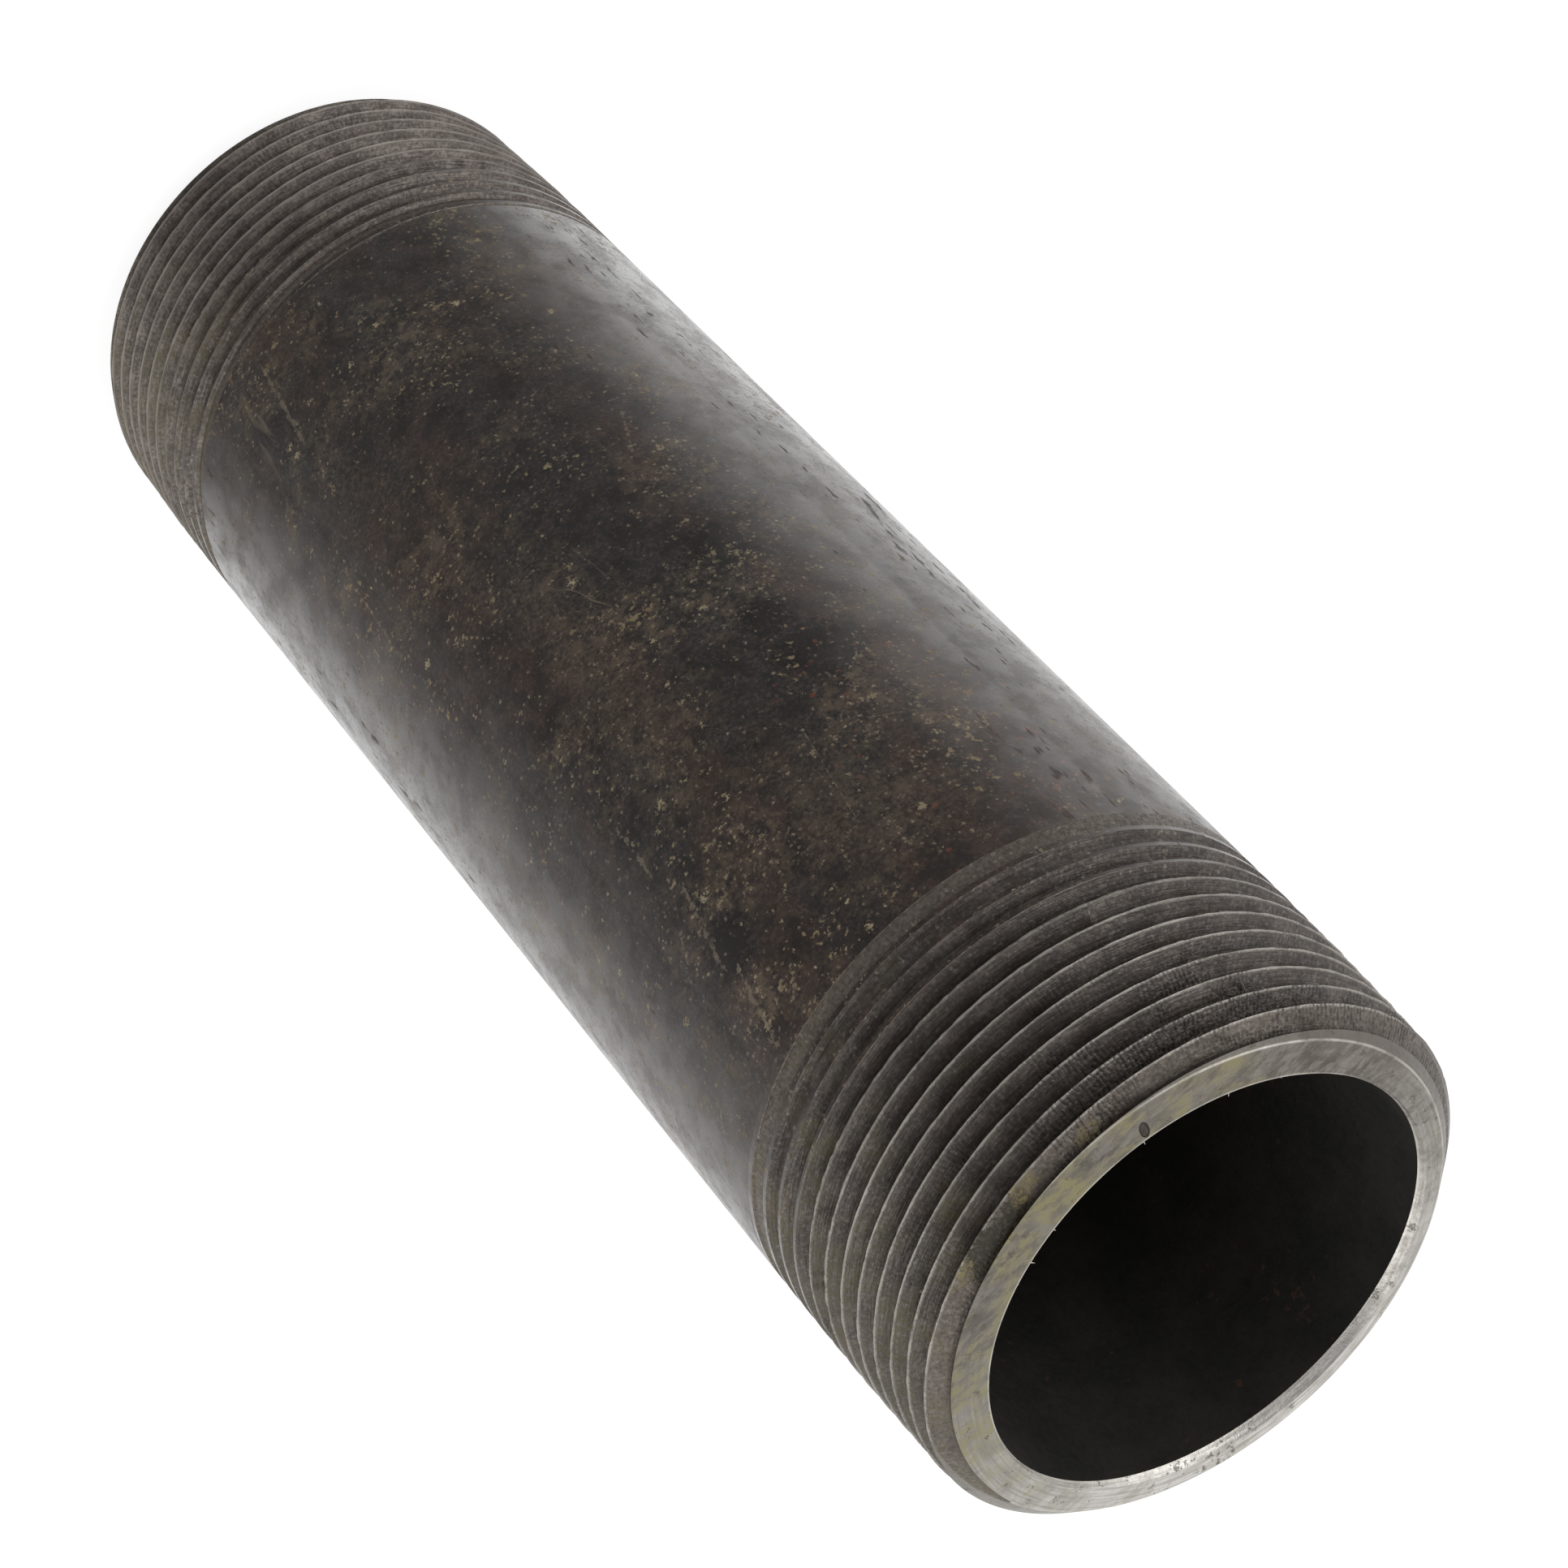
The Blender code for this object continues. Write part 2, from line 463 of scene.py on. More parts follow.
def add_chip(degrees, reach, height, length, thickness, lean):
    """A sliver of cut steel that points at the axis, raised by lean, with its middle at a given place."""
    turn = math.radians(degrees)
    bpy.ops.mesh.primitive_cone_add(
        vertices=7,
        radius1=thickness,
        radius2=thickness * 0.25,
        depth=length,
        location=(reach * math.cos(turn), reach * math.sin(turn), height),
        rotation=(0, -math.pi / 2 + lean, turn),
    )
    chip = added("chip")
    chip.data.materials.append(finishes["cut_end"])
    return chip


# Each burr: its angle and its length.
burrs = [(-136, 0.30), (-122, 0.55), (-113, 0.25), (-100, 0.60)]
burrs += [(-87, 0.30), (-73, 0.50), (-64, 0.65), (-58, 0.30)]
# Each sliver: its angle, the groove's turn, the flank above or below, and its length.
slivers = ((-134, 4, 1, 1.0), (-137, 4, -1, 0.8), (-48, 4, -1, 0.7), (35, 5, 1, 0.9), (120, 5, -1, 0.8))
chips = []
for degrees, length in burrs:
    reach = bore_radius + (0.10 - length / 2) * MM
    height = pipe_length - 0.16 * MM
    chips.append(add_chip(degrees, reach, height, length * MM, 0.09 * MM, 0.10))
for degrees, groove_turn, flank_side, length in slivers:
    groove_middle = (groove_turn - 1.5 - (math.radians(degrees) + upper_start) / math.tau) * pitch
    depth = groove_middle + flank_side * 0.50 * MM
    reach = root_radius + depth * radius_taper + 0.9 * MM
    height = pipe_length - depth
    chips.append(add_chip(degrees, reach, height, length * MM, 0.16 * MM, 1.2))
bpy.ops.object.select_all(action="DESELECT")
for chip in chips:
    chip.select_set(True)
nipple.select_set(True)
bpy.context.view_layer.objects.active = nipple
bpy.ops.object.join()
print("chips:", len(chips))

# %% [markdown]
# ## Helpers for shader nodes
# A shader is a small flow chart. These helpers add one node each and hand back the socket that carries its
# result, so that a recipe below reads from left to right, as the flow chart does.

# %% Node helpers


def tint(red, green, blue):
    """A colour as a screen shows it, 0 to 255, as the linear value that a shader uses."""
    linear = []
    for part in (red, green, blue):
        part = part / 255
        linear.append(part / 12.92 if part <= 0.04045 else ((part + 0.055) / 1.055) ** 2.4)
    return (*linear, 1.0)


def feed(tree, made, inputs):
    """Feeds a node. A value that is a socket is linked, and any other value is set on the input."""
    for key, value in inputs.items():
        if isinstance(value, bpy.types.NodeSocket):
            tree.links.new(value, made.inputs[key])
        else:
            made.inputs[key].default_value = value


def add_node(tree, kind, inputs, **settings):
    """Adds a node with the given settings and inputs."""
    made = tree.nodes.new("ShaderNode" + kind)
    for name, value in settings.items():
        setattr(made, name, value)
    feed(tree, made, inputs)
    return made


def maths(tree, operation, first, second=0.0, clamp=False):
    inputs = {0: first, 1: second}
    return add_node(tree, "Math", inputs, operation=operation, use_clamp=clamp).outputs[0]


def times(tree, first, second, clamp=False):
    return maths(tree, "MULTIPLY", first, second, clamp)


def plus(tree, first, second, clamp=False):
    return maths(tree, "ADD", first, second, clamp)


def minus(tree, first, second, clamp=False):
    return maths(tree, "SUBTRACT", first, second, clamp)


def plus_part(tree, value, mask, part):
    """The value plus a part of the mask."""
    return plus(tree, value, times(tree, mask, part))


def vector_maths(tree, operation, first, second=(0.0, 0.0, 0.0)):
    return add_node(tree, "VectorMath", {0: first, 1: second}, operation=operation).outputs[0]


def length_of(tree, vector):
    return add_node(tree, "VectorMath", {0: vector}, operation="LENGTH").outputs["Value"]


def stretch(tree, vector, x, y, z):
    """The same place with each axis scaled, which stretches a pattern along the small ones."""
    return vector_maths(tree, "MULTIPLY", vector, (x, y, z))


def noise(tree, vector, size, detail=3.0, roughness=0.5):
    """Noise whose lumps are about size metres across."""
    inputs = {"Vector": vector, "Scale": 1 / size, "Detail": detail, "Roughness": roughness}
    return add_node(tree, "TexNoise", inputs).outputs["Fac"]


def sized_noise(tree, place, size, detail, roughness=0.6, share=1.0):
    """Noise whose lumps are as large as the size socket says, divided by the share."""
    scale = maths(tree, "DIVIDE", share, size)
    inputs = {"Vector": place, "Scale": scale, "Detail": detail, "Roughness": roughness}
    return add_node(tree, "TexNoise", inputs).outputs["Fac"]


def step(tree, value, low, high, result_low=0.0, result_high=1.0):
    """Goes smoothly from result_low at low to result_high at high."""
    inputs = {"Value": value, "From Min": low, "From Max": high, "To Min": result_low, "To Max": result_high}
    return add_node(tree, "MapRange", inputs, interpolation_type="SMOOTHSTEP").outputs[0]


def blend(tree, factor, first, second):
    """Mixes two colours."""
    inputs = {0: factor, 6: first, 7: second}
    return add_node(tree, "Mix", inputs, data_type="RGBA", clamp_factor=True).outputs[2]


def paint(tree, colour, mask, over, strength):
    """Lays one colour over another where the mask says, at the given strength."""
    return blend(tree, times(tree, mask, strength), colour, over)


def spread(tree, vector):
    """The x, y and z sockets of a vector."""
    return add_node(tree, "SeparateXYZ", {0: vector}).outputs


def start_group(name, inputs, outputs):
    """A node group with the named inputs and outputs. Only places and directions are vectors."""
    tree = bpy.data.node_groups.new(name, "ShaderNodeTree")
    for label in inputs:
        kind = "Vector" if label in ("Place", "Centre", "Unrolled", "Start", "Along") else "Float"
        tree.interface.new_socket(label, in_out="INPUT", socket_type="NodeSocket" + kind)
    for label in outputs:
        tree.interface.new_socket(label, in_out="OUTPUT", socket_type="NodeSocketFloat")
    return tree, tree.nodes.new("NodeGroupInput").outputs, tree.nodes.new("NodeGroupOutput").inputs


def place_group(tree, group, inputs):
    """Puts a copy of a node group in a material, and hands back its outputs."""
    made = tree.nodes.new("ShaderNodeGroup")
    made.node_tree = group
    feed(tree, made, inputs)
    return made.outputs


# %% [markdown]
# ## Effects that several surfaces share
# Steel that has been through a mill and a threading machine shows the same few things everywhere: grain,
# specks that gather in clusters, single crumbs, tool marks, a film of cutting oil, blots and scrapes.
# Each is a node group with its own inputs, built once and used with other values in each surface.

# %% Effect: specks that gather in clusters
inputs = ["Place", "Speck Size", "Cluster Size", "Amount"]
specks, given, result = start_group("clustered_specks", inputs, ["Mask"])
fine = sized_noise(specks, given["Place"], given["Speck Size"], 2.0)
wide = sized_noise(specks, given["Place"], given["Cluster Size"], 3.0)
gathered = step(specks, wide, 0.38, 0.72, -0.10, 0.14)
level = plus(specks, plus(specks, fine, gathered), given["Amount"])
specks.links.new(step(specks, level, 0.68, 0.76), result["Mask"])

# %% Effect: single crumbs, each in its own cell
dots, given, result = start_group("scattered_dots", ["Place", "Cell", "Share"], ["Mask", "Tone"])
per_cell = maths(dots, "DIVIDE", 1.0, given["Cell"])
jitter = add_node(dots, "TexNoise", {"Vector": given["Place"], "Detail": 3.0, "Roughness": 0.7})
dots.links.new(times(dots, per_cell, 2.8), jitter.inputs["Scale"])
shift = vector_maths(dots, "SUBTRACT", jitter.outputs["Color"], (0.5, 0.5, 0.5))
reach = times(dots, given["Cell"], 2.4)
shift = add_node(dots, "VectorMath", {0: shift, "Scale": reach}, operation="SCALE").outputs[0]
cells = add_node(dots, "TexVoronoi", {"Vector": vector_maths(dots, "ADD", given["Place"], shift)})
dots.links.new(per_cell, cells.inputs["Scale"])
chance = add_node(dots, "SeparateColor", {0: cells.outputs["Color"]}).outputs
chosen = maths(dots, "LESS_THAN", chance["Red"], given["Share"])
size = step(dots, chance["Blue"], 0.2, 1.0, 0.14, 0.44)
round_dot = step(dots, minus(dots, cells.outputs["Distance"], size), 0.08, -0.08)
dots.links.new(times(dots, chosen, round_dot), result["Mask"])
dots.links.new(chance["Green"], result["Tone"])

# %% Effect: grain at two sizes
grain, given, result = start_group("steel_grain", ["Place", "Size"], ["Fine", "Coarse"])
grain.links.new(sized_noise(grain, given["Place"], given["Size"], 4.0, 0.65), result["Fine"])
grain.links.new(sized_noise(grain, given["Place"], given["Size"], 3.0, 0.55, 0.12), result["Coarse"])

# %% Effect: tool marks that run round the pipe
# A noise of radius and height alone gives rings. A little of x and y makes them fade in and out along
# their way round, and they still meet themselves, because x and y do.
marks, given, result = start_group("turning_marks", ["Place", "Fade"], ["Height"])
axes = spread(marks, given["Place"])
radius = length_of(marks, stretch(marks, given["Place"], 1, 1, 0))
faded_x = times(marks, axes["X"], given["Fade"])
faded_y = times(marks, axes["Y"], given["Fade"])
along = add_node(marks, "CombineXYZ", {0: radius, 1: axes["Z"], 2: faded_x}).outputs[0]
inputs = {"Vector": along, "W": faded_y, "Scale": 1 / (0.16 * MM), "Detail": 3.0}
lines = add_node(marks, "TexNoise", inputs, noise_dimensions="4D")
marks.links.new(lines.outputs["Fac"], result["Height"])

# %% Effect: a film of cutting oil with dirt in it
film, given, result = start_group("oil_film", ["Place", "Size", "Amount"], ["Mask"])
inputs = {"Vector": given["Place"], "Detail": 5.0, "Roughness": 0.6, "Distortion": 0.4}
wide = add_node(film, "TexNoise", inputs)
film.links.new(maths(film, "DIVIDE", 1.0, given["Size"]), wide.inputs["Scale"])
level = plus(film, wide.outputs["Fac"], given["Amount"])
film.links.new(step(film, level, 0.45, 0.70), result["Mask"])

# %% Effect: a blot round one point, with a ragged edge
blot, given, result = start_group("ragged_blot", ["Place", "Centre", "Size", "Ragged"], ["Mask"])
apart = length_of(blot, vector_maths(blot, "SUBTRACT", given["Place"], given["Centre"]))
apart = maths(blot, "DIVIDE", apart, given["Size"])
uneven = times(blot, minus(blot, given["Ragged"], 0.5), 2.4)
apart = plus(blot, apart, uneven)
blot.links.new(step(blot, apart, 1.0, 0.7), result["Mask"])


# %% Effect: a scrape from one point to another on the unrolled surface
inputs = ["Unrolled", "Start", "Along", "Width", "Ragged"]
scrape, given, result = start_group("scrape", inputs, ["Mask"])
offset = vector_maths(scrape, "SUBTRACT", given["Unrolled"], given["Start"])
reach = add_node(scrape, "VectorMath", {0: offset, 1: given["Along"]}, operation="DOT_PRODUCT")
whole = add_node(scrape, "VectorMath", {0: given["Along"], 1: given["Along"]}, operation="DOT_PRODUCT")
share = maths(scrape, "DIVIDE", reach.outputs["Value"], whole.outputs["Value"], clamp=True)
nearest = add_node(scrape, "VectorMath", {0: given["Along"], "Scale": share}, operation="SCALE").outputs[0]
apart = length_of(scrape, vector_maths(scrape, "SUBTRACT", offset, nearest))
apart = maths(scrape, "DIVIDE", apart, given["Width"])
broken = times(scrape, minus(scrape, given["Ragged"], 0.44), 7.0)
apart = plus(scrape, apart, broken)
scrape.links.new(step(scrape, apart, 1.0, 0.5), result["Mask"])


def on_barrel(degrees, height):
    """A point on the barrel, from its angle round the axis and its height in millimetres."""
    turn = math.radians(degrees)
    return (outer_radius * math.cos(turn), outer_radius * math.sin(turn), height * MM)


def unroll(tree, axes, radius):
    """The turn about the axis, and the place on the surface unrolled flat at the given radius."""
    turn = maths(tree, "ARCTAN2", axes["Y"], axes["X"])
    way_round = times(tree, turn, radius)
    return turn, add_node(tree, "CombineXYZ", {0: way_round, 1: axes["Z"]}).outputs[0]


def ragged_noise(tree, place):
    """The one noise that makes the edges of all blots and scrapes of a surface uneven."""
    return noise(tree, place, 0.6 * MM, detail=4.0, roughness=0.7)


def blots(tree, place, ragged, spots):
    """One mask for several blots. Each spot is a middle point and a size in millimetres."""
    masks = []
    for centre, size in spots:
        inputs = {"Place": place, "Centre": centre, "Size": size * MM, "Ragged": ragged}
        masks.append(place_group(tree, blot, inputs)["Mask"])
    return add_up(tree, masks)


def specked(tree, place, speck_size, cluster_size, amount):
    """The mask of clustered specks, with both sizes in millimetres."""
    inputs = {"Place": place, "Speck Size": speck_size * MM, "Cluster Size": cluster_size * MM}
    return place_group(tree, specks, {**inputs, "Amount": amount})["Mask"]


def add_up(tree, masks):
    """The sum of several masks, kept at 1 or less."""
    total = masks[0]
    for mask in masks[1:]:
        total = plus(tree, total, mask, clamp=True)
    return total


def open_finish(finish):
    """The node tree of a material, its shader, and the place on the object."""
    tree = finish.node_tree
    return tree, tree.nodes["Principled BSDF"], add_node(tree, "TexCoord", {}).outputs["Object"]


def raised(tree, height, strength, distance=0.03 * MM):
    """The normal of a surface that a height makes uneven."""
    inputs = {"Height": height, "Strength": strength, "Distance": distance}
    return add_node(tree, "Bump", inputs).outputs[0]


print("effects:", [group.name for group in bpy.data.node_groups])

# %% [markdown]
# ## Mill varnish
# The barrel was dipped in a thin dark varnish at the mill. It is brown-black, and warmer in some areas.
# It has been stored and handled, so cream residue sits in clusters of specks and thin scuffs run mostly
# lengthwise. It is a dielectric, so the edges of the barrel turn bright by themselves.

# %% Material: mill varnish
tree, shader, place = open_finish(finishes["mill_varnish"])
lengthwise = stretch(tree, place, 1, 1, 0.28)
grains = place_group(tree, grain, {"Place": place, "Size": 0.35 * MM})

warm = step(tree, noise(tree, lengthwise, 9 * MM, detail=4.0, roughness=0.6), 0.40, 0.62)
colour = blend(tree, warm, tint(34, 33, 34), tint(50, 37, 32))
dark_patch = step(tree, noise(tree, stretch(tree, place, 1, 1, 0.5), 14 * MM, detail=3.0), 0.50, 0.66)
colour = paint(tree, colour, dark_patch, tint(28, 27, 27), 0.6)
mottled = step(tree, grains["Fine"], 0.44, 0.66, 0.0, 0.7)
colour = blend(tree, mottled, colour, tint(70, 58, 51))
worn = step(tree, noise(tree, place, 2.2 * MM, detail=5.0, roughness=0.7), 0.44, 0.60, 0.0, 0.75)
colour = blend(tree, worn, colour, tint(24, 22, 21))

# Where residue has gathered: broad clusters, and four spots where it lies thick.
gathered = step(tree, noise(tree, place, 10 * MM, detail=4.0, roughness=0.6), 0.42, 0.66)
ragged = ragged_noise(tree, place)
thick_spots = ((-111, 88.0, 5.5), (-92, 86.0, 5.0), (-63, 121.0, 3.0), (-70, 32.0, 3.0))
thick = blots(tree, place, ragged, [(on_barrel(*spot[:2]), spot[2]) for spot in thick_spots])
gathered = plus(tree, gathered, times(tree, thick, 0.7), clamp=True)

haze = step(tree, noise(tree, place, 1.5 * MM, detail=6.0, roughness=0.75), 0.44, 0.64)
haze = times(tree, haze, plus_part(tree, 0.06, gathered, 0.62))
colour = blend(tree, haze, colour, tint(96, 84, 68))
stain_spots = [(-116, 83.0, 3.2), (-117, 99.0, 4.2), (-66, 116.0, 3.0), (-113, 93.0, 2.6), (70, 70.0, 5.0)]
stain = blots(tree, place, ragged, [(on_barrel(*spot[:2]), spot[2]) for spot in stain_spots])
colour = paint(tree, colour, stain, tint(20, 19, 18), 0.80)

# Fine dots of many tones, then irregular cream crumbs, and a few rust flecks.
share = plus_part(tree, 0.13, gathered, 0.50)
fine_dots = place_group(tree, dots, {"Place": place, "Cell": 0.34 * MM, "Share": share})
dot_colour = blend(tree, fine_dots["Tone"], tint(80, 66, 58), tint(166, 150, 120))
colour = paint(tree, colour, fine_dots["Mask"], dot_colour, 0.72)
large_share = plus_part(tree, 0.012, gathered, 0.14)
large_dots = place_group(tree, dots, {"Place": place, "Cell": 0.80 * MM, "Share": large_share})
dot_colour = blend(tree, large_dots["Tone"], tint(112, 94, 62), tint(168, 156, 124))
colour = paint(tree, colour, large_dots["Mask"], dot_colour, 0.72)
cream = specked(tree, place, 0.7, 11, plus_part(tree, -0.01, thick, 0.09))
colour = paint(tree, colour, cream, tint(138, 122, 90), 0.65)
rust = specked(tree, vector_maths(tree, "ADD", place, (0.1, 0.4, 0.3)), 1.2, 20, -0.05)
colour = paint(tree, colour, rust, tint(104, 58, 34), 0.6)

# Dull brown flecks of dirt, which show most in the sheen at the sides.
flecks = specked(tree, vector_maths(tree, "ADD", lengthwise, (0.3, 0.1, 0.2)), 0.9, 12, 0.01)
colour = paint(tree, colour, flecks, tint(58, 46, 38), 0.6)

# Scuffs: thin lines where two stretched noises cross their middle value.
scuffs = []
for lean, size in ((0.25, 7 * MM), (-0.5, 5 * MM)):
    inputs = {0: place, "Rotation": (lean, lean * 0.6, 0.0), "Scale": (1, 1, 0.22)}
    leaning = add_node(tree, "Mapping", inputs).outputs[0]
    band = noise(tree, leaning, size, detail=2.0, roughness=0.4)
    thin = maths(tree, "ABSOLUTE", minus(tree, band, 0.5))
    here = step(tree, noise(tree, leaning, 3.5 * MM, detail=3.0), 0.60, 0.72)
    scuffs.append(times(tree, step(tree, thin, 0.005, 0.001), here))

# Single scrapes, each from an angle and a height to another, with its width in millimetres.
turn, unrolled = unroll(tree, spread(tree, place), outer_radius)
for angle, low_end, angle_to, high_end, width in (
    (-67.5, 108.0, -62.5, 116.5, 0.34),
    (-65.0, 118.0, -60.5, 125.5, 0.30),
    (-60.5, 110.5, -57.5, 113.0, 0.22),
    (-53.8, 57.0, -52.6, 62.0, 0.20),
    (-114.0, 108.4, -131.0, 110.8, 0.07),
    (-103.0, 106.0, -99.0, 117.0, 0.06),
    (-71.5, 29.0, -67.5, 40.0, 0.30),
    (-122.0, 62.0, -117.0, 68.0, 0.20),
    (-64.5, 99.0, -63.5, 105.0, 0.28),
    (60.0, 50.0, 68.0, 90.0, 0.18),
    (130.0, 95.0, 118.0, 72.0, 0.22),
    (10.0, 38.0, 22.0, 47.0, 0.24),
):
    start = (math.radians(angle) * outer_radius, low_end * MM, 0.0)
    end = (math.radians(angle_to) * outer_radius, high_end * MM, 0.0)
    along = tuple(b - a for a, b in zip(start, end))
    inputs = {"Unrolled": unrolled, "Start": start, "Along": along, "Width": width * MM, "Ragged": ragged}
    scuffs.append(place_group(tree, scrape, inputs)["Mask"])
scuff = add_up(tree, scuffs)
colour = paint(tree, colour, scuff, tint(122, 110, 94), 0.50)

matt = step(tree, grains["Coarse"], 0.42, 0.64)
dust = step(tree, noise(tree, lengthwise, 16 * MM, detail=5.0, roughness=0.6), 0.52, 0.66)
rough = step(tree, grains["Fine"], 0.3, 0.7, 0.17, 0.32)
rough = plus_part(tree, rough, matt, 0.08)
rough = plus_part(tree, rough, dust, 0.16)
dust_grain = times(tree, dust, step(tree, grains["Fine"], 0.40, 0.62, 0.05, 0.55))
colour = blend(tree, dust_grain, colour, tint(82, 70, 58))
deposit = add_up(tree, [fine_dots["Mask"], large_dots["Mask"], cream, scuff])
rough = plus_part(tree, rough, deposit, 0.25)
rough = plus_part(tree, rough, flecks, 0.25)

height = plus_part(tree, grains["Coarse"], grains["Fine"], 0.45)
height = plus_part(tree, height, deposit, 0.7)
height = plus_part(tree, height, scuff, -0.9)
gloss = step(tree, noise(tree, place, 3.0 * MM, detail=5.0, roughness=0.65), 0.42, 0.60, 0.62, 0.18)
gloss = minus(tree, gloss, times(tree, deposit, 0.4), clamp=True)
gloss = minus(tree, gloss, times(tree, flecks, 0.6), clamp=True)
normal = raised(tree, height, 0.6)
feed(tree, shader, {"Base Color": colour, "Roughness": rough, "Coat Weight": gloss, "Normal": normal})
feed(tree, shader, {"IOR": 1.6, "Specular Tint": (1.0, 0.91, 0.88, 1.0), "Coat Roughness": 0.12})

# %% [markdown]
# ## Cut thread
# The die leaves bare steel, greyed by oil. Fine marks run along the thread, and where the die chattered the
# flanks carry close ripples across it. The crests are painted light, partly as steel worn bright by handling
# and partly as a painted highlight. Height inside the groove is worked out from the distance to the axis,
# less the cone that the roots lie on.

# %% Material: cut thread
tree, shader, place = open_finish(finishes["cut_thread"])
axes = spread(tree, place)
radius = length_of(tree, stretch(tree, place, 1, 1, 0))
from_end = maths(tree, "MINIMUM", axes["Z"], minus(tree, pipe_length, axes["Z"]))
root_cone = plus(tree, times(tree, from_end, radius_taper), root_radius)
groove_height = maths(tree, "DIVIDE", minus(tree, radius, root_cone), thread_depth)
grains = place_group(tree, grain, {"Place": place, "Size": 0.34 * MM})
rings = place_group(tree, marks, {"Place": place, "Fade": 0.05})

dry = step(tree, axes["Z"], 0.120, 0.030)
darker = blend(tree, dry, tint(82, 75, 71), tint(102, 93, 88))
paler = blend(tree, dry, tint(106, 98, 93), tint(126, 117, 111))
colour = blend(tree, step(tree, grains["Coarse"], 0.35, 0.65), darker, paler)
colour = blend(tree, step(tree, rings["Height"], 0.35, 0.65, 0.0, 0.6), colour, tint(62, 57, 53))
last_turn = step(tree, from_end, 23.9 * MM, 24.5 * MM)
first_and_last = plus(tree, last_turn, step(tree, from_end, 2.6 * MM, 2.0 * MM))
colour = paint(tree, colour, first_and_last, tint(120, 111, 101), 0.42)
colour = blend(tree, step(tree, grains["Fine"], 0.46, 0.62, 0.0, 0.50), colour, tint(60, 53, 48))
colour = blend(tree, step(tree, grains["Fine"], 0.46, 0.34, 0.0, 0.35), colour, tint(134, 125, 116))
run_out = step(tree, from_end, 17 * MM, 21 * MM)
share = plus_part(tree, 0.30, run_out, 0.22)
gritty = place_group(tree, dots, {"Place": place, "Cell": 0.32 * MM, "Share": share})
pale_grit = blend(tree, run_out, tint(146, 140, 132), tint(176, 168, 152))
grit_colour = blend(tree, gritty["Tone"], tint(44, 39, 34), pale_grit)
colour = paint(tree, colour, gritty["Mask"], grit_colour, 0.55)
brown = step(tree, noise(tree, stretch(tree, place, 1, 1, 2.0), 4 * MM, detail=4.0), 0.46, 0.62)
brown = times(tree, brown, step(tree, groove_height, 0.75, 0.35, 0.0, 0.40))
colour = blend(tree, brown, colour, tint(58, 44, 34))
# Painted shade: the colour darkens towards the groove roots, where shade falls.
painted_root_shade = step(tree, groove_height, 0.30, 0.02)
colour = paint(tree, colour, painted_root_shade, tint(52, 46, 41), 0.35)
oily_side = step(tree, axes["X"], -0.006, 0.022, -0.18, 0.10)
oil = place_group(tree, film, {"Place": place, "Size": 5 * MM, "Amount": oily_side})
oil_grain = times(tree, oil["Mask"], step(tree, grains["Fine"], 0.40, 0.62, 0.10, 0.70))
colour = blend(tree, oil_grain, colour, tint(98, 90, 58))
# The crests are painted light: partly steel worn bright by handling, partly a painted highlight along each
# crest line.
uneven_height = plus_part(tree, groove_height, grains["Fine"], 0.20)
rubbed_and_highlit = step(tree, uneven_height, 0.96, 1.07)
rubbed_and_highlit = times(tree, rubbed_and_highlit, plus_part(tree, 0.85, dry, -0.42))
colour = blend(tree, rubbed_and_highlit, colour, tint(166, 160, 152))

# Residue lies in the first groove of the upper end.
# It is drawn out along the groove, so its blots are measured on the unrolled surface, with the way round
# counted at less than its length.
ragged = ragged_noise(tree, place)
drawn_out = outer_radius * 0.4
turn, unrolled = unroll(tree, axes, drawn_out)


def in_first_groove(angle, depth):
    """A point on the unrolled thread, from its angle and its depth below the top in millimetres."""
    return (math.radians(angle) * drawn_out, pipe_length - depth * MM, 0)


residue_spots = ((-67, 0.75, 1.0), (-63, 0.85, 0.9), (-73, 0.85, 0.8))
residue = blots(tree, unrolled, ragged, [(in_first_groove(*spot[:2]), spot[2]) for spot in residue_spots])
residue = times(tree, residue, step(tree, grains["Fine"], 0.30, 0.55, 0.60, 1.0))
colour = blend(tree, residue, colour, tint(40, 31, 12))
crust_spots = ((-77, 1.3, 0.6), (-58, 1.5, 0.6), (-92, 1.0, 0.5))
crust = blots(tree, unrolled, ragged, [(in_first_groove(*spot[:2]), spot[2]) for spot in crust_spots])
crust = times(tree, crust, step(tree, grains["Fine"], 0.42, 0.60, 0.10, 0.80))
colour = blend(tree, crust, colour, tint(124, 112, 72))

wander = times(tree, noise(tree, stretch(tree, place, 1, 1, 2.5), 6 * MM, detail=2.0), 26.0)
ripple = maths(tree, "SINE", plus(tree, times(tree, turn, 372.0), wander))
chatter = step(tree, noise(tree, stretch(tree, place, 1, 1, 2.0), 9 * MM, detail=2.0), 0.42, 0.60)
chatter = times(tree, chatter, step(tree, from_end, 15 * MM, 7 * MM))
chatter = times(tree, chatter, step(tree, axes["X"], 0.012, -0.006, 0.25, 1.0))
chatter = times(tree, chatter, plus_part(tree, 1.0, dry, -0.75))
across = noise(tree, stretch(tree, place, 1, 1, 0.12), 0.36 * MM, detail=2.0, roughness=0.6)
torn_lines = plus(tree, times(tree, ripple, 0.45), times(tree, across, 4.0))
height = times(tree, times(tree, torn_lines, 1.5), chatter)
groove_line = step(tree, torn_lines, 1.95, 1.35)
groove_line = times(tree, times(tree, groove_line, chatter), 0.75)
colour = blend(tree, groove_line, colour, tint(36, 31, 27))
height = plus_part(tree, height, rings["Height"], 1.4)
height = plus_part(tree, height, grains["Fine"], 1.8)
height = plus(tree, height, add_up(tree, [residue, crust]))
rough = step(tree, grains["Fine"], 0.3, 0.7, 0.36, 0.52)
rough = plus_part(tree, rough, rubbed_and_highlit, -0.10)
metal = plus_part(tree, 0.45, oil["Mask"], -0.25)
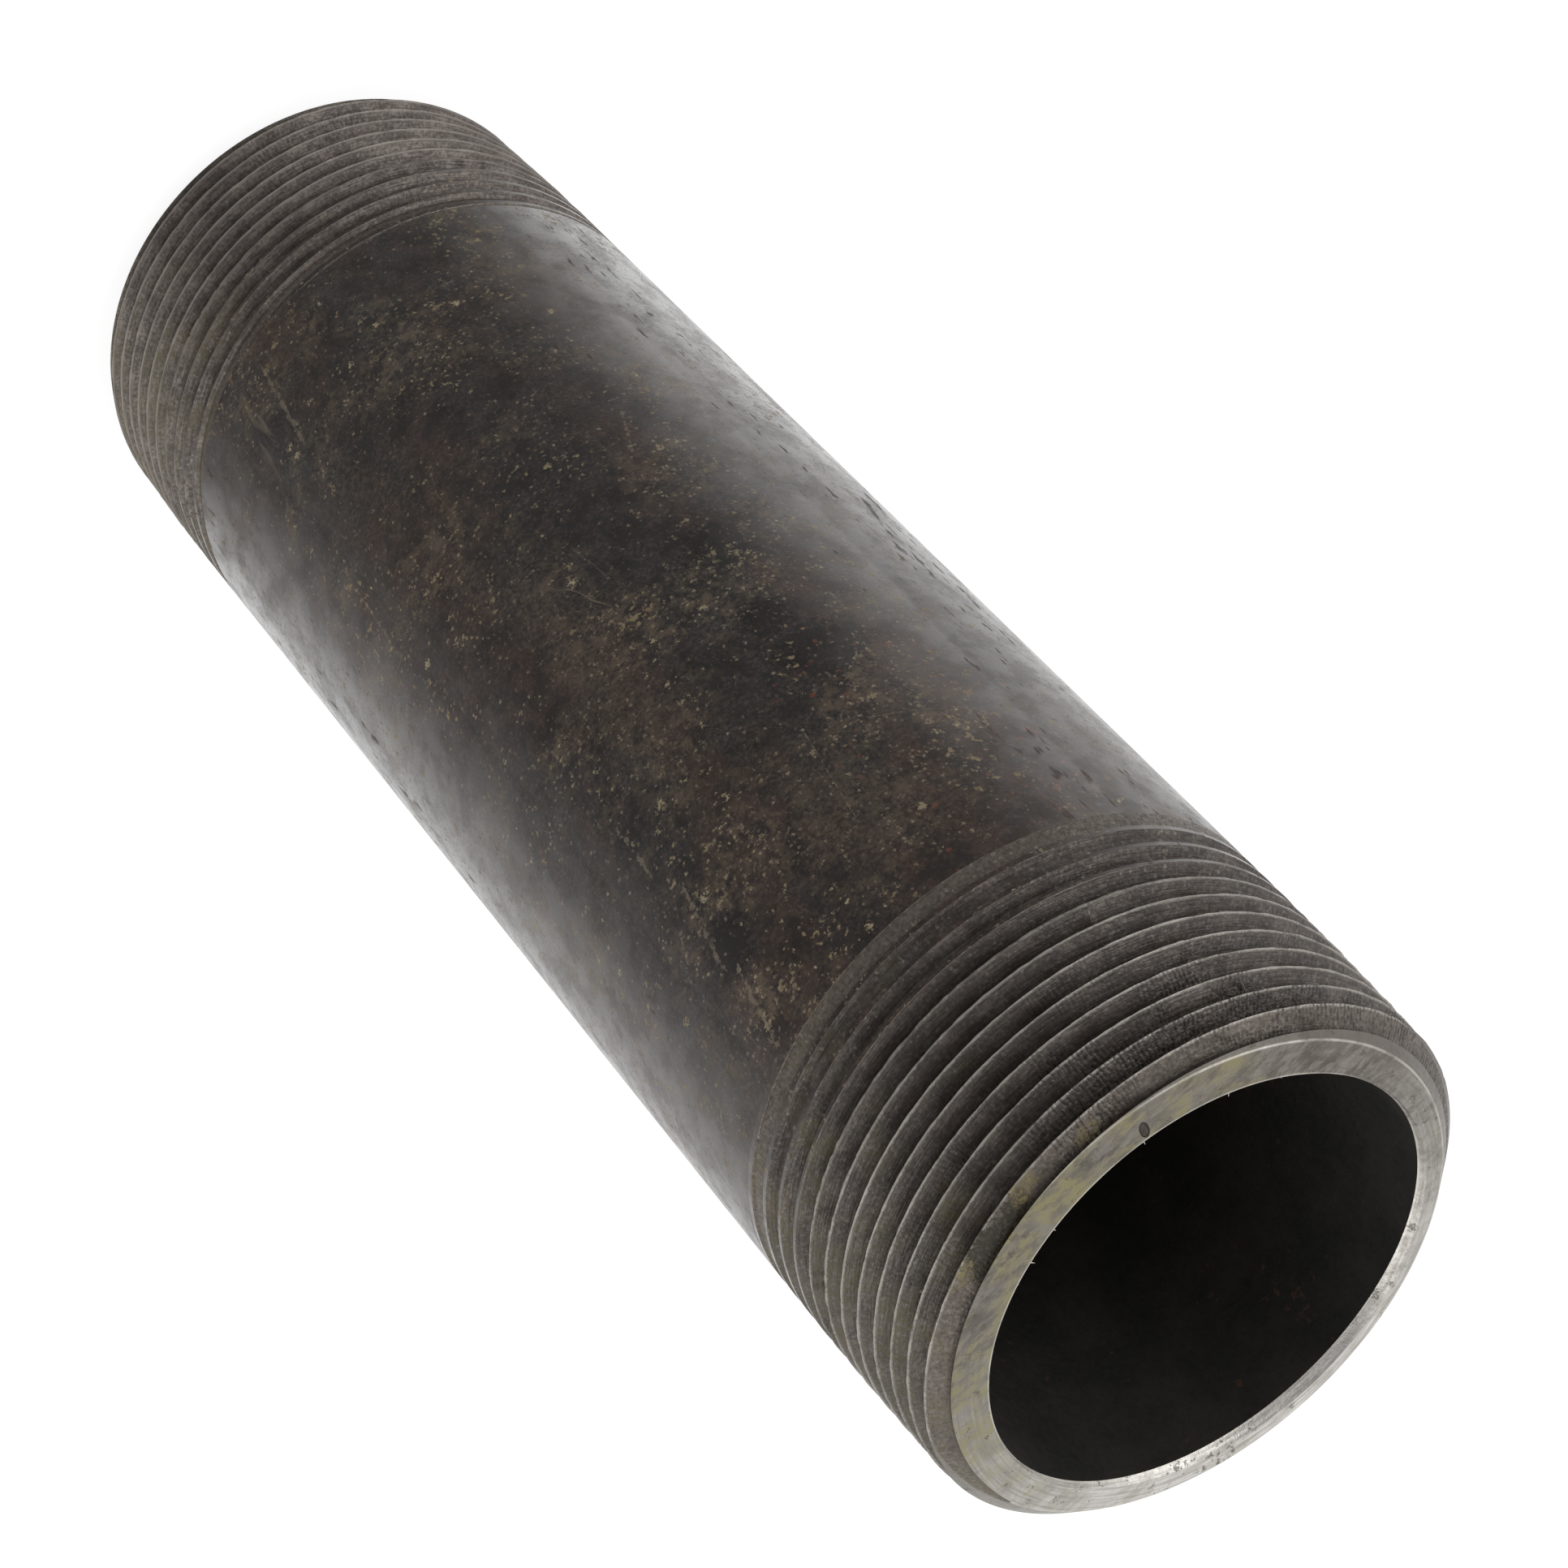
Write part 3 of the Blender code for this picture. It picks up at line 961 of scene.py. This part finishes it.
metal = times(tree, metal, minus(tree, 1.0, maths(tree, "MAXIMUM", residue, crust)))
normal = raised(tree, height, 1.0)
feed(tree, shader, {"Base Color": colour, "Roughness": rough, "Metallic": metal, "Normal": normal})

# %% [markdown]
# ## Cut ends
# The saw and the reamer leave the ends the brightest of all. Their marks run in rings. Yellow-green oil has
# dried on them in mottled patches. The face is painted light towards the back and dark towards the front, a
# painted light and shade, and both rims carry a painted highlight, broken up by grain.

# %% Material: cut ends
tree, shader, place = open_finish(finishes["cut_end"])
axes = spread(tree, place)
radius = length_of(tree, stretch(tree, place, 1, 1, 0))
grains = place_group(tree, grain, {"Place": place, "Size": 0.30 * MM})
rings = place_group(tree, marks, {"Place": place, "Fade": 0.04})
# Painted light and shade: the face is coloured light towards the back and dark towards the front, as light
# falls on it, and the worn and brightest tones below follow the same side.
towards_back = plus_part(tree, axes["Y"], axes["X"], 0.25)
painted_lit_side = step(tree, towards_back, -0.016, 0.030)
colour = blend(tree, painted_lit_side, tint(88, 82, 76), tint(206, 202, 195))
worn = blend(tree, painted_lit_side, tint(120, 114, 107), tint(226, 223, 218))
colour = blend(tree, step(tree, grains["Coarse"], 0.35, 0.65), colour, worn)
long_marks = noise(tree, stretch(tree, place, 0.45, 1.0, 1.0), 0.7 * MM, detail=5.0, roughness=0.7)
brightest = blend(tree, painted_lit_side, tint(144, 139, 132), tint(236, 234, 230))
colour = blend(tree, step(tree, long_marks, 0.44, 0.60, 0.0, 0.65), colour, brightest)
colour = blend(tree, step(tree, rings["Height"], 0.30, 0.70, 0.0, 0.45), colour, tint(104, 98, 90))
towards_oil = plus_part(tree, times(tree, axes["X"], 0.6), axes["Y"], -0.8)
oily_side = step(tree, towards_oil, -0.006, 0.018, -0.16, 0.10)
oil = place_group(tree, film, {"Place": place, "Size": 4.5 * MM, "Amount": oily_side})
oil_grain = times(tree, oil["Mask"], step(tree, long_marks, 0.42, 0.58, 0.15, 0.72))
colour = blend(tree, oil_grain, colour, tint(130, 123, 72))
dirt = specked(tree, place, 0.5, 6, -0.03)
colour = paint(tree, colour, dirt, tint(74, 68, 52), 0.7)
dark_dots = place_group(tree, dots, {"Place": place, "Cell": 0.8 * MM, "Share": 0.14})
colour = paint(tree, colour, dark_dots["Mask"], tint(70, 66, 60), 0.55)
from_ring_middle = vector_maths(tree, "SUBTRACT", place, (upper_ring["x"], upper_ring["y"], 0.0))
from_ring_middle = length_of(tree, stretch(tree, from_ring_middle, 1, 1, 0))
ring_edge = upper_ring["radius"]
on_chamfer = step(tree, from_ring_middle, ring_edge + 0.02 * MM, ring_edge + 0.12 * MM)
# Painted highlights along the flat ring's outer edge and along the bore's edge, broken up by grain.
outer_rim_highlight = step(tree, from_ring_middle, ring_edge - 0.16 * MM, ring_edge - 0.02 * MM)
outer_rim_highlight = minus(tree, outer_rim_highlight, on_chamfer, clamp=True)
rim_highlight = step(tree, radius, bore_radius + 0.16 * MM, bore_radius + 0.04 * MM)
rim_highlight = maths(tree, "MAXIMUM", rim_highlight, times(tree, outer_rim_highlight, 0.8))
rim_highlight = times(tree, rim_highlight, step(tree, grains["Coarse"], 0.3, 0.6, 0.3, 0.8))
# The chamfer's darker grey is strongest on the painted shaded front side.
chamfer_grey_by_painted_shade = plus_part(tree, 0.80, painted_lit_side, -0.35)
colour = blend(tree, times(tree, on_chamfer, chamfer_grey_by_painted_shade), colour, tint(98, 91, 84))
colour = blend(tree, rim_highlight, colour, tint(206, 201, 192))
height = plus_part(tree, rings["Height"], grains["Fine"], 1.2)
height = plus_part(tree, height, dark_dots["Mask"], -1.5)
height = plus_part(tree, height, long_marks, 1.5)
rough = step(tree, grains["Fine"], 0.3, 0.7, 0.34, 0.50)
metal = plus_part(tree, 0.8, oil["Mask"], -0.45)
metal = minus(tree, metal, times(tree, on_chamfer, 0.45), clamp=True)
normal = raised(tree, height, 0.8)
feed(tree, shader, {"Base Color": colour, "Roughness": rough, "Metallic": metal, "Normal": normal})

# %% [markdown]
# ## Scale in the bore
# Nothing has touched the inside since the mill, so it keeps its dull black scale, with a little rust.

# %% Material: bore scale
tree, shader, place = open_finish(finishes["bore_scale"])
grains = place_group(tree, grain, {"Place": place, "Size": 0.6 * MM})
colour = blend(tree, step(tree, grains["Coarse"], 0.35, 0.65), tint(26, 25, 22), tint(38, 34, 28))
rust = specked(tree, place, 1.0, 8, -0.03)
colour = paint(tree, colour, rust, tint(72, 48, 30), 0.5)
height = plus_part(tree, grains["Coarse"], grains["Fine"], 0.5)
rough = step(tree, grains["Fine"], 0.3, 0.7, 0.62, 0.82)
normal = raised(tree, height, 0.5, 0.05 * MM)
feed(tree, shader, {"Base Color": colour, "Roughness": rough, "Normal": normal})

# %% [markdown]
# ## The studio
# The pipe stands on a plain pale floor in soft white light. To the camera the floor and the world are
# white, and the floor still takes the pipe's shadow. What polished metal mirrors matters as much as the
# lamps do: the room is white at the sides and behind, and darker in front, where the light is not.

# %% Floor
bpy.ops.object.select_all(action="DESELECT")
bpy.ops.mesh.primitive_plane_add(size=6.0, location=(0, 0, -0.2 * MM))
floor = added("studio_floor")
pale_floor = bpy.data.materials.new("pale_floor")
pale_floor.use_nodes = True
floor.data.materials.append(pale_floor)
tree, shader, place = open_finish(pale_floor)
flat = stretch(tree, place, 1, 1, 0)
rays = add_node(tree, "LightPath", {}).outputs
front_to_back = spread(tree, vector_maths(tree, "NORMALIZE", flat))["Y"]
mirrored = step(tree, front_to_back, -0.80, 0.30, 0.16, 1.0)
# Painted shadow in what metal mirrors: the floor inside the bore's footprint does not glow, as if the pipe
# shaded it.
glow_outside_bore_shadow = step(tree, length_of(tree, flat), bore_radius, bore_radius + 1.5 * MM)
mirrored = times(tree, mirrored, glow_outside_bore_shadow)
in_mirror = maths(tree, "MAXIMUM", rays["Is Glossy Ray"], rays["Is Transmission Ray"])
glow = times(tree, mirrored, in_mirror)
glow = plus_part(tree, glow, rays["Is Camera Ray"], 0.86)
feed(tree, shader, {"Emission Strength": glow, "Emission Color": (1, 1, 1, 1)})
seen = plus_part(tree, 0.75, rays["Is Camera Ray"], -0.50)
seen = minus(tree, seen, times(tree, in_mirror, 0.74), clamp=True)
grey = add_node(tree, "CombineColor", {0: seen, 1: seen, 2: seen}).outputs[0]
feed(tree, shader, {"Base Color": grey, "Roughness": 1.0, "Specular IOR Level": 0.0})

# %% World
world = bpy.data.worlds.new("studio")
bpy.context.scene.world = world
world.use_nodes = True
tree = world.node_tree
background = tree.nodes["Background"]
rays = add_node(tree, "LightPath", {}).outputs
direction = spread(tree, add_node(tree, "TexCoord", {}).outputs["Generated"])
mirrored = step(tree, direction["Y"], -0.75, 0.10, 0.20, 1.0)
in_mirror = maths(tree, "MAXIMUM", rays["Is Glossy Ray"], rays["Is Transmission Ray"])
strength = times(tree, mirrored, in_mirror)
strength = plus(tree, strength, rays["Is Camera Ray"])
strength = plus_part(tree, strength, rays["Is Diffuse Ray"], 0.75)
feed(tree, background, {"Strength": strength, "Color": (1, 1, 1, 1)})

# %% Lamps


def soft_lamp(name, place, size, watts):
    """A square area lamp that faces the middle of the pipe."""
    lamp = bpy.data.objects.new(name, bpy.data.lights.new(name, "AREA"))
    bpy.context.collection.objects.link(lamp)
    lamp.data.shape = "SQUARE"
    lamp.data.size = size
    lamp.data.energy = watts
    lamp.location = place
    towards_pipe = Vector((0, 0, pipe_length / 2)) - lamp.location
    lamp.rotation_euler = towards_pipe.to_track_quat("-Z", "Y").to_euler()


soft_lamp("left_lamp", (-0.9, -0.3, 0.9), 0.8, 4.0)
soft_lamp("right_lamp", (0.9, -0.1, 0.7), 0.8, 3.0)

# %% [markdown]
# ## The camera
# The camera looks down at 42 degrees on the standing pipe, and it is rolled so that the near end comes
# to the lower right. The lens is long, as for a small product.

# %% Camera
camera = bpy.data.objects.new("camera", bpy.data.cameras.new("camera"))
bpy.context.collection.objects.link(camera)
camera.location = (0, -0.25748, 0.32180)
aim = Vector((-0.00173, 0, 0.08749)) - camera.location
turned = aim.to_track_quat("-Z", "Y") @ Quaternion((0, 0, 1), math.radians(137.531))
camera.rotation_euler = turned.to_euler()
camera.data.sensor_width = 36
camera.data.lens = 95.58
camera.data.clip_start = 0.01
bpy.context.scene.camera = camera
bpy.context.scene.view_settings.view_transform = "Standard"
print("camera to aim point, mm:", round(aim.length / MM, 1))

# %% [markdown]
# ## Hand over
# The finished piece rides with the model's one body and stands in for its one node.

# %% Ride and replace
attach(nipple, "root")
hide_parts("pipe_nipple")
